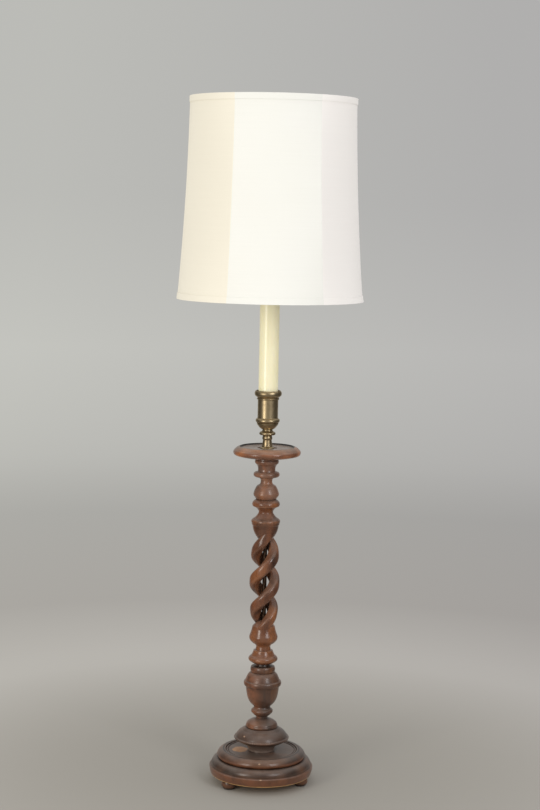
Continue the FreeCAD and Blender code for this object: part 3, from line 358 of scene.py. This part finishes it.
pan_wood, tree, shader, coloured, place, patch = stained_wood("stained_hardwood_disc_worn_brown", False, 2.2,
                                                              1.1,
                                                              0.55, "a8988a", 0.1, 0.24)
away = distance_from_axis(tree, place)
# painted shadow: a dark line under the inside of the rim
under_rim = add(tree, "ShaderNodeMapRange", [("Value", away), ("From Min", PAN_RIM_SHADOW_RADIUS),
                                             ("From Max", PAN_RIM_SHADOW_RADIUS - PAN_RIM_SHADOW_BLUR)]).outputs[0]
pan_height = add(tree, "ShaderNodeSeparateXYZ", [(0, place)]).outputs["Z"]
pan_low, pan_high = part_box("drip_pan")
half_height = (pan_low[2] + pan_high[2]) / 2
inside_pan = add(tree, "ShaderNodeMath", [(0, pan_height), (1, half_height)],
                 operation="GREATER_THAN").outputs[0]
rim_shadow = add(tree, "ShaderNodeMath", [(0, under_rim), (1, inside_pan)], operation="MULTIPLY").outputs[0]
coloured = add(tree, "ShaderNodeMix", [("Factor", rim_shadow), (6, coloured), (7, linear(PAN_RIM_SHADOW))],
               data_type="RGBA").outputs[2]
# dust and a painted sheen make the pan's floor paler
on_floor = add(tree, "ShaderNodeMapRange", [("Value", away), ("From Min", PAN_PALE_FLOOR_RADIUS),
                                            ("From Max", PAN_PALE_FLOOR_RADIUS - PAN_PALE_FLOOR_BLUR)]).outputs[0]
dust_and_sheen = add(tree, "ShaderNodeMath", [(0, on_floor), (1, inside_pan)], operation="MULTIPLY").outputs[0]
floor_tone = add(tree, "ShaderNodeMix", [("Factor", patch), (6, linear(PAN_FLOOR_TONES[0])),
                                         (7, linear(PAN_FLOOR_TONES[1]))], data_type="RGBA").outputs[2]
coloured = add(tree, "ShaderNodeMix", [("Factor", dust_and_sheen), (6, coloured), (7, floor_tone)],
               data_type="RGBA").outputs[2]
tree.links.new(coloured, shader.inputs["Base Color"])
paint("drip_pan", pan_wood)

foot_wood = stained_wood("stained_hardwood_feet", False, 3.1, warmth=0.3, top_dust_and_sheen=0.2)[0]
for node in ("foot_left", "foot_right", "foot_rear"):
    paint(node, foot_wood)

# ---------------------------------------------------------------- base discs: chip, nicks and bare edge
# The middle tier has lost a flake of stain on its flat top, left of the front, and each tier has a small
# nick. The lowest tier's bottom edge is rubbed to a pale line of bare wood, and the colour is warmer low on
# the two lower tiers. A dark line on the middle tier is painted shade of its groove. The dome's foot is
# painted a grey-brown close to the middle tier's, so that it stands out less.
CHIP_CENTRE = (-0.0478, -0.0075, 0.073)
CHIP_HALF = (0.0175, 0.0225, 0.004)
CHIP_TONES = ("e0a668", "9a5f35")
NICK_HALF = (0.0024, 0.002, 0.0014)
NICK_WOOD = "a98a70"
DOME_NICK = (-0.0388, -0.0388, 0.1135)
STEP_NICK = (-0.0034, -0.0982, 0.0684)
PLINTH_NICK = (0.0, -0.1173, 0.038)
DOME_FOOT_HEIGHTS = (0.096, 0.088)
DOME_FOOT_TONE = "75645a"
STEP_LINE_RADIUS = 0.0862
STEP_LINE_WIDTH = 0.0042
STEP_GROOVE_SHADE = "1f1712"
STEP_WARM_HEIGHTS = (0.067, 0.061)
PLINTH_WARM_HEIGHTS = (0.041, 0.036)
LOW_WARM = "7c4c31"
BARE_EDGE_HEIGHTS = (0.0238, 0.0228)
BARE_EDGE_WAVE = 0.004


def painted_groove_shade(tree, place, under, radius, width):
    """Colour with a dark line at this radius: painted shade of the groove that the shoulder hides from the
    front.
    """
    away = distance_from_axis(tree, place)
    beside = add(tree, "ShaderNodeMath", [(0, away), (1, radius)], operation="SUBTRACT").outputs[0]
    beside = add(tree, "ShaderNodeMath", [(0, beside)], operation="ABSOLUTE").outputs[0]
    line = add(tree, "ShaderNodeMapRange",
               [("Value", beside), ("From Min", width / 2), ("From Max", width / 4),
                                            ("To Max", 0.85)]).outputs[0]
    return add(tree, "ShaderNodeMix", [("Factor", line), (6, under), (7, linear(STEP_GROOVE_SHADE))],
               data_type="RGBA").outputs[2]


def warmer_below(tree, place, patch, under, fades_at, full_at):
    """Colour that is warmer on the low part of a disc."""
    height = add(tree, "ShaderNodeSeparateXYZ", [(0, place)]).outputs["Z"]
    low = add(tree, "ShaderNodeMapRange", [("Value", height), ("From Min", fades_at),
                                           ("From Max", full_at)]).outputs[0]
    often = add(tree, "ShaderNodeMapRange", [("Value", patch), ("From Min", 0.35), ("From Max", 0.65),
                                             ("To Min", 0.3), ("To Max", 0.85)]).outputs[0]
    share = add(tree, "ShaderNodeMath", [(0, low), (1, often)], operation="MULTIPLY").outputs[0]
    return add(tree, "ShaderNodeMix", [("Factor", share), (6, under), (7, linear(LOW_WARM))],
               data_type="RGBA").outputs[2]


dome_wood, tree, shader, coloured, place, patch = stained_wood("stained_hardwood_dome_disc", False, 9.2, 0.1,
                                                               haze=0.2)
height = add(tree, "ShaderNodeSeparateXYZ", [(0, place)]).outputs["Z"]
under = add(tree, "ShaderNodeMapRange", [("Value", height), ("From Min", DOME_FOOT_HEIGHTS[0]),
                                         ("From Max", DOME_FOOT_HEIGHTS[1]), ("To Max", 0.8)]).outputs[0]
coloured = add(tree, "ShaderNodeMix", [("Factor", under), (6, coloured), (7, linear(DOME_FOOT_TONE))],
               data_type="RGBA").outputs[2]
nicked = bare_spot(tree, place, patch, coloured, DOME_NICK, NICK_HALF, linear(NICK_WOOD))
tree.links.new(nicked, shader.inputs["Base Color"])
paint("base_dome", dome_wood)

step_wood, tree, shader, coloured, place, patch = stained_wood("stained_hardwood_chipped_disc", False, 7.7,
                                                               0.05,
                                                               left_light_share=0.3)
coloured = painted_groove_shade(tree, place, coloured, STEP_LINE_RADIUS, STEP_LINE_WIDTH)
coloured = warmer_below(tree, place, patch, coloured, *STEP_WARM_HEIGHTS)
chip_tone = add(tree, "ShaderNodeMix", [("Factor", patch), (6, linear(CHIP_TONES[0])),
                                        (7, linear(CHIP_TONES[1]))], data_type="RGBA").outputs[2]
chipped = bare_spot(tree, place, patch, coloured, CHIP_CENTRE, CHIP_HALF, chip_tone)
nicked = bare_spot(tree, place, patch, chipped, STEP_NICK, NICK_HALF, linear(NICK_WOOD))
tree.links.new(nicked, shader.inputs["Base Color"])
paint("base_step", step_wood)

plinth_wood, tree, shader, coloured, place, patch = stained_wood("stained_hardwood_rubbed_disc", False, 5.3,
                                                                 0.0)
coloured = warmer_below(tree, place, patch, coloured, *PLINTH_WARM_HEIGHTS)
height = add(tree, "ShaderNodeSeparateXYZ", [(0, place)]).outputs["Z"]
wavy = add(tree, "ShaderNodeMath", [(0, patch), (1, BARE_EDGE_WAVE), (2, height)],
           operation="MULTIPLY_ADD").outputs[0]
bare = add(tree, "ShaderNodeMapRange", [("Value", wavy), ("From Min", BARE_EDGE_HEIGHTS[0]),
                                        ("From Max", BARE_EDGE_HEIGHTS[1])]).outputs[0]
rubbed = add(tree, "ShaderNodeMix", [("Factor", bare), (6, coloured), (7, linear(BARE_WOOD))],
             data_type="RGBA").outputs[2]
nicked = bare_spot(tree, place, patch, rubbed, PLINTH_NICK, NICK_HALF, linear(NICK_WOOD))
tree.links.new(nicked, shader.inputs["Base Color"])
paint("base_plinth", plinth_wood)


# ---------------------------------------------------------------- steel, plastic and paper inside
# Zinc-plated steel pipe, washer, nut, screws, saddle and ferrules; black phenolic bushing, holder body and
# key; brown fibre paper liner.
def plain_metal(name, colour, dark, roughness, spot_mm):
    """Metal with a slow drift of tone and gloss at a real spot size."""
    material, tree, output = new_material(name)
    place = add(tree, "ShaderNodeTexCoord").outputs["Object"]
    spots = add(tree, "ShaderNodeTexNoise", [("Vector", place), ("Scale", 1000 / spot_mm), ("Detail", 5.0),
                                             ("Roughness", 0.6)]).outputs[0]
    clear = add(tree, "ShaderNodeMapRange",
                [("Value", spots), ("From Min", 0.35), ("From Max", 0.65)]).outputs[0]
    tone = add(tree, "ShaderNodeMix", [("Factor", clear), (6, linear(dark)), (7, linear(colour))],
               data_type="RGBA").outputs[2]
    rough = add(tree, "ShaderNodeMapRange", [("Value", clear), ("To Min", roughness + 0.14),
                                             ("To Max", roughness)]).outputs[0]
    relief = add(tree, "ShaderNodeBump",
                 [("Strength", 0.1), ("Distance", 0.0002), ("Height", spots)]).outputs[0]
    shader = add(tree, "ShaderNodeBsdfPrincipled",
                 [("Base Color", tone), ("Metallic", 1.0), ("Roughness", rough),
                                                    ("Normal", relief)])
    tree.links.new(shader.outputs[0], output.inputs[0])
    return material


def plain_moulding(name, colour, dark, roughness, spot_mm, relief_mm):
    """Plastic or paper with a fine tone and surface grain at a real spot size."""
    material, tree, output = new_material(name)
    place = add(tree, "ShaderNodeTexCoord").outputs["Object"]
    spots = add(tree, "ShaderNodeTexNoise", [("Vector", place), ("Scale", 1000 / spot_mm),
                                             ("Detail", 4.0)]).outputs[0]
    tone = add(tree, "ShaderNodeMix", [("Factor", spots), (6, linear(dark)), (7, linear(colour))],
               data_type="RGBA").outputs[2]
    rough = add(tree, "ShaderNodeMapRange", [("Value", spots), ("To Min", roughness - 0.08),
                                             ("To Max", roughness + 0.08)]).outputs[0]
    relief = add(tree, "ShaderNodeBump", [("Strength", 0.4), ("Distance", relief_mm / 1000),
                                          ("Height", spots)]).outputs[0]
    shader = add(tree, "ShaderNodeBsdfPrincipled",
                 [("Base Color", tone), ("Roughness", rough), ("Normal", relief)])
    tree.links.new(shader.outputs[0], output.inputs[0])
    return material


pipe_steel = plain_metal("zinc_plated_steel_aged", "6b5648", "2f221b", 0.38, 4.0)
for node in ("lamp_pipe", "bottom_washer", "lock_nut"):
    paint(node, pipe_steel)
bright_steel = plain_metal("zinc_plated_steel", "a9a7a2", "7c7a76", 0.3, 5.0)
for node in ("foot_screws", "harp_saddle", "ferrule_left", "ferrule_right", "switch_shaft"):
    paint(node, bright_steel)
phenolic = plain_moulding("moulded_phenolic", "1c1917", "0c0b0a", 0.35, 0.8, 0.05)
for node in ("cord_bushing", "holder_insulator", "switch_key"):
    paint(node, phenolic)
paint("holder_liner", plain_moulding("fibre_paper", "8b7c66", "6a5c49", 0.8, 0.6, 0.08))

# ---------------------------------------------------------------- brass stem and candle cup
# Spun and turned brass, satin, with brown tarnish in patches and in the hollows.
BRASS = "c4b08c"
BRASS_TARNISH = "77644a"
TARNISH_MM = 22.0
TURNING_MM = 0.9
BRASS_HOLLOW = 0.005

aged_brass, tree, output = new_material("spun_brass_tarnished")
place = add(tree, "ShaderNodeTexCoord").outputs["Object"]
blotch = add(tree, "ShaderNodeTexNoise", [("Vector", place), ("Scale", 1000 / TARNISH_MM), ("Detail", 6.0),
                                          ("Roughness", 0.62)]).outputs[0]
ring_place = add(tree, "ShaderNodeMapping", [(0, place), (3, (60.0, 60.0, 1000 / TURNING_MM))]).outputs[0]
rings = add(tree, "ShaderNodeTexNoise", [("Vector", ring_place), ("Scale", 1.0), ("Detail", 2.0)]).outputs[0]
open_air = add(tree, "ShaderNodeAmbientOcclusion", [("Distance", BRASS_HOLLOW)],
               samples=AO_SAMPLES).outputs["AO"]
sunk = add(tree, "ShaderNodeMapRange",
           [("Value", open_air), ("From Min", 0.9), ("From Max", 0.55)]).outputs[0]
stain = add(tree, "ShaderNodeMapRange", [("Value", blotch), ("From Min", 0.45), ("From Max", 0.75),
                                         ("To Max", 0.7)]).outputs[0]
dirt = add(tree, "ShaderNodeMath", [(0, sunk), (1, stain)], operation="MAXIMUM").outputs[0]
tone = add(tree, "ShaderNodeMix", [("Factor", dirt), (6, linear(BRASS)), (7, linear(BRASS_TARNISH))],
           data_type="RGBA").outputs[2]
rough = add(tree, "ShaderNodeMapRange", [("Value", dirt), ("To Min", 0.36), ("To Max", 0.5)]).outputs[0]
relief = add(tree, "ShaderNodeBump", [("Strength", 0.05), ("Distance", 0.0001), ("Height", rings)]).outputs[0]
shader = add(tree, "ShaderNodeBsdfPrincipled", [("Base Color", tone), ("Metallic", 1.0), ("Roughness", rough),
                                                ("Normal", relief)])
tree.links.new(shader.outputs[0], output.inputs[0])
for node in ("brass_stem", "candle_cup"):
    paint(node, aged_brass)

# ---------------------------------------------------------------- candle sleeve
# A smooth ivory sleeve of moulded resin, satin, slightly uneven, a little yellower in patches.
SLEEVE_IVORY = "fcf5d8"
SLEEVE_YELLOW = "f7ecbd"

sleeve_resin, tree, output = new_material("moulded_ivory_resin")
place = add(tree, "ShaderNodeTexCoord").outputs["Object"]
drift_place = add(tree, "ShaderNodeMapping", [(0, place), (3, (30.0, 30.0, 9.0))]).outputs[0]
drift = add(tree, "ShaderNodeTexNoise", [("Vector", drift_place), ("Scale", 1.0), ("Detail", 3.0)]).outputs[0]
fine = add(tree, "ShaderNodeTexNoise", [("Vector", place), ("Scale", 1000 / 1.5), ("Detail", 3.0)]).outputs[0]
tone = add(tree, "ShaderNodeMix", [("Factor", drift), (6, linear(SLEEVE_IVORY)), (7, linear(SLEEVE_YELLOW))],
           data_type="RGBA").outputs[2]
rough = add(tree, "ShaderNodeMapRange", [("Value", fine), ("To Min", 0.13), ("To Max", 0.22)]).outputs[0]
relief = add(tree, "ShaderNodeBump", [("Strength", 0.15), ("Distance", 0.0002), ("Height", drift)]).outputs[0]
shader = add(tree, "ShaderNodeBsdfPrincipled", [
    ("Base Color", tone), ("Roughness", rough), ("Normal", relief), ("IOR", 1.49),
    ("Subsurface Weight", 0.12), ("Subsurface Radius", (0.004, 0.003, 0.0015)), ("Subsurface Scale", 1.0)])
tree.links.new(shader.outputs[0], output.inputs[0])
paint("candle_sleeve", sleeve_resin)

# ---------------------------------------------------------------- lamp holder, bulb, harp and finial
# Stamped brass holder and cap, turned brass finial, brass-plated harp; frosted bulb on a rolled
# aluminium screw base.
holder_brass = plain_metal("stamped_brass", "c7a866", "9a7c45", 0.28, 9.0)
for node in ("sleeve_cap", "holder_cap", "holder_shell", "screw_shell", "centre_contact", "harp", "finial"):
    paint(node, holder_brass)
paint("bulb_base", plain_metal("rolled_aluminium", "c9c9c9", "a5a5a5", 0.3, 3.0))

bulb_glass, tree, output = new_material("frosted_glass")
place = add(tree, "ShaderNodeTexCoord").outputs["Object"]
frost = add(tree, "ShaderNodeTexNoise",
            [("Vector", place), ("Scale", 1000 / 0.5), ("Detail", 2.0)]).outputs[0]
rough = add(tree, "ShaderNodeMapRange", [("Value", frost), ("To Min", 0.3), ("To Max", 0.45)]).outputs[0]
shader = add(tree, "ShaderNodeBsdfPrincipled", [
    ("Base Color", linear("f4f3ee")), ("Roughness", rough), ("IOR", 1.5), ("Transmission Weight", 0.35)])
tree.links.new(shader.outputs[0], output.inputs[0])
paint("bulb_glass", bulb_glass)

# ---------------------------------------------------------------- shade frame
# Six ribs, two rings and a three-armed spider of steel wire, welded and enamelled white.
paint("shade_frame", plain_moulding("white_enamel", "e6e3da", "cfcbbf", 0.35, 6.0, 0.05))

# ---------------------------------------------------------------- shade fabric
# Plain-woven cream cloth, one closed wall stretched from ring to ring over the six ribs. Between two ribs
# the cloth lies flatter than the rings, so the ribs show as soft upright creases.
SHADE_WAIST = 0.004
PANEL_SAG = 0.013
PANEL_SAG_POWER = 0.7
TAPE_THICKNESS = 0.0012
CLOTH_THICKNESS = 0.0011
CLOTH_INSET = TAPE_THICKNESS + 0.0003
RIB_COUNT = 6
RIB_ANGLE = math.radians(3.5)
CLOTH_TURNS = 360
CLOTH_ROWS = 96

low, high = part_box("shade_fabric")
shade_low, shade_high = low.z, high.z


def rim_radius(node, z):
    """Largest radius of a node's points at a height."""
    points = np.array([vertex.co for vertex in cad[node].data.vertices])
    return np.hypot(points[:, 0], points[:, 1])[abs(points[:, 2] - z) < 0.0005].max()


shade_bottom_radius = rim_radius("shade_trim_bottom", shade_low)
shade_top_radius = rim_radius("shade_trim_top", shade_high)


def shade_point(angle, share, inset):
    """Point on the shade: a straight taper, drawn in half way up, with flattened arcs between the ribs."""
    rib = shade_bottom_radius + (shade_top_radius - shade_bottom_radius) * share
    rib = rib - SHADE_WAIST * 4 * share * (1 - share) - inset
    half = np.pi / RIB_COUNT
    across = np.mod(angle - RIB_ANGLE, 2 * half) - half
    middle = rib - PANEL_SAG * np.abs(np.sin(np.pi * share)) ** PANEL_SAG_POWER
    centre = (middle ** 2 - rib ** 2) / (2 * (middle - rib * np.cos(half)))
    bend = middle - centre
    radius = centre * np.cos(across) + np.sqrt(bend ** 2 - (centre * np.sin(across)) ** 2)
    z = shade_low + (shade_high - shade_low) * share
    return np.stack([radius * np.cos(angle), radius * np.sin(angle), z + 0 * angle], -1)


angle = RIB_ANGLE + np.linspace(0, 2 * np.pi, CLOTH_TURNS, endpoint=False)[None, :]
share = (1 - np.cos(np.linspace(0, np.pi, CLOTH_ROWS)))[:, None] / 2
outside = shade_point(angle + 0 * share, share + 0 * angle, CLOTH_INSET)
inside = shade_point(angle + 0 * share, share + 0 * angle, CLOTH_INSET + CLOTH_THICKNESS)
cloth = grid_piece("shade_cloth", np.concatenate([outside, inside[::-1]]), loop_u=True, loop_v=True)

THREAD_MM = 1.3
MEAN_RADIUS_MM = 200
CLOTH_TONES = ("f0f0ec", "eeede6")
GORE_LIGHT_TONES = ((-146.5, "f2ecdd"), (-26.5, "f8f4f0"))
GORE_EDGE = (0.8655, 0.8665)

cloth_weave, tree, output = new_material("plain_woven_cream_cloth")
# real threads are about 0.4 mm apart; they are drawn three times as wide so that they show
place = add(tree, "ShaderNodeTexCoord").outputs["Object"]
parts = add(tree, "ShaderNodeSeparateXYZ", [(0, place)])
round_about = add(tree, "ShaderNodeMath", [(0, parts.outputs["Y"]), (1, parts.outputs["X"])],
                  operation="ARCTAN2").outputs[0]
warp = add(tree, "ShaderNodeMath", [(0, round_about), (1, 2 * math.pi * round(MEAN_RADIUS_MM / THREAD_MM))],
           operation="MULTIPLY").outputs[0]
weft = add(tree, "ShaderNodeMath", [(0, parts.outputs["Z"]), (1, 2 * math.pi * 1000 / THREAD_MM)],
           operation="MULTIPLY").outputs[0]
warp_wave = add(tree, "ShaderNodeMath", [(0, warp)], operation="SINE").outputs[0]
weft_wave = add(tree, "ShaderNodeMath", [(0, weft)], operation="SINE").outputs[0]
weave = add(tree, "ShaderNodeMath", [(0, warp_wave), (1, weft_wave)], operation="MULTIPLY").outputs[0]
slub_place = add(tree, "ShaderNodeMapping", [(0, place), (3, (6.0, 6.0, 420.0))]).outputs[0]
slub = add(tree, "ShaderNodeTexNoise", [("Vector", slub_place), ("Scale", 1.0), ("Detail", 4.0)]).outputs[0]
age = add(tree, "ShaderNodeTexNoise", [("Vector", place), ("Scale", 5.0), ("Detail", 4.0)]).outputs[0]
tone = add(tree, "ShaderNodeMix", [("Factor", age), (6, linear(CLOTH_TONES[0])), (7, linear(CLOTH_TONES[1]))],
           data_type="RGBA").outputs[2]
# painted light: the gore facing left is painted yellower, as under warm light, and the gore facing right
# paler, as under cool light; how strong is a guess
for centre, lit_tone in GORE_LIGHT_TONES:
    off_centre = add(tree, "ShaderNodeMath", [(0, round_about), (1, math.radians(centre))],
                     operation="SUBTRACT").outputs[0]
    facing = add(tree, "ShaderNodeMath", [(0, off_centre)], operation="COSINE").outputs[0]
    within = add(tree, "ShaderNodeMapRange", [("Value", facing), ("From Min", GORE_EDGE[0]),
                                              ("From Max", GORE_EDGE[1])]).outputs[0]
    tone = add(tree, "ShaderNodeMix", [("Factor", within), (6, tone), (7, linear(lit_tone))],
               data_type="RGBA").outputs[2]
shade_of_weave = add(tree, "ShaderNodeMath", [(0, weave), (1, 0.012), (2, 0.988)],
                     operation="MULTIPLY_ADD").outputs[0]
shade_of_slub = add(tree, "ShaderNodeMapRange", [("Value", slub), ("From Min", 0.3), ("From Max", 0.7),
                                                 ("To Min", 0.985), ("To Max", 1.0)]).outputs[0]
thready = add(tree, "ShaderNodeMath", [(0, shade_of_weave), (1, shade_of_slub)],
              operation="MULTIPLY").outputs[0]
tone = add(tree, "ShaderNodeVectorMath", [(0, tone), (1, thready)], operation="MULTIPLY").outputs[0]
height = add(tree, "ShaderNodeMath", [(0, slub), (1, weave)], operation="ADD").outputs[0]
relief = add(tree, "ShaderNodeBump",
             [("Strength", 0.12), ("Distance", 0.0002), ("Height", height)]).outputs[0]
shader = add(tree, "ShaderNodeBsdfPrincipled", [
    ("Base Color", tone), ("Roughness", 0.85), ("Normal", relief), ("Sheen Weight", 0.15),
    ("Sheen Roughness", 0.5)])
tree.links.new(shader.outputs[0], output.inputs[0])
cloth.data.materials.append(cloth_weave)
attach(cloth, "shade")
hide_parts("shade_fabric")

# ---------------------------------------------------------------- shade trims
# Narrow folded tape of the same cloth, glued round the top and the bottom edge, with a rolled outer edge.
TAPE_HEIGHT = 0.0138
TAPE_POINTS = 28
TAPE_SQUARENESS = 0.6


def edge_tape(name, share_edge, direction):
    """Tape round an edge: a flat oval section with a thicker rolled edge, carried round the shade."""
    section = np.linspace(0, 2 * np.pi, TAPE_POINTS, endpoint=False)[:, None]
    height_share = TAPE_HEIGHT / (shade_high - shade_low)
    along = np.sign(np.cos(section)) * np.abs(np.cos(section)) ** TAPE_SQUARENESS
    out = np.sign(np.sin(section)) * np.abs(np.sin(section)) ** TAPE_SQUARENESS
    where = share_edge + direction * height_share * (0.5 - 0.5 * along)
    roll = np.exp(-((along - 0.8) / 0.25) ** 2)
    inset = TAPE_THICKNESS / 2 - out * TAPE_THICKNESS * (0.34 + 0.14 * roll)
    points = shade_point(angle + 0 * section, where + 0 * angle, inset + 0 * angle)
    return grid_piece(name, points, loop_u=True, loop_v=True)


tape_top = edge_tape("shade_tape_top", 1.0, -1)
tape_bottom = edge_tape("shade_tape_bottom", 0.0, 1)
for tape, node in ((tape_top, "shade_trim_top"), (tape_bottom, "shade_trim_bottom")):
    tape.data.materials.append(cloth_weave)
    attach(tape, "shade")
    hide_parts(node)
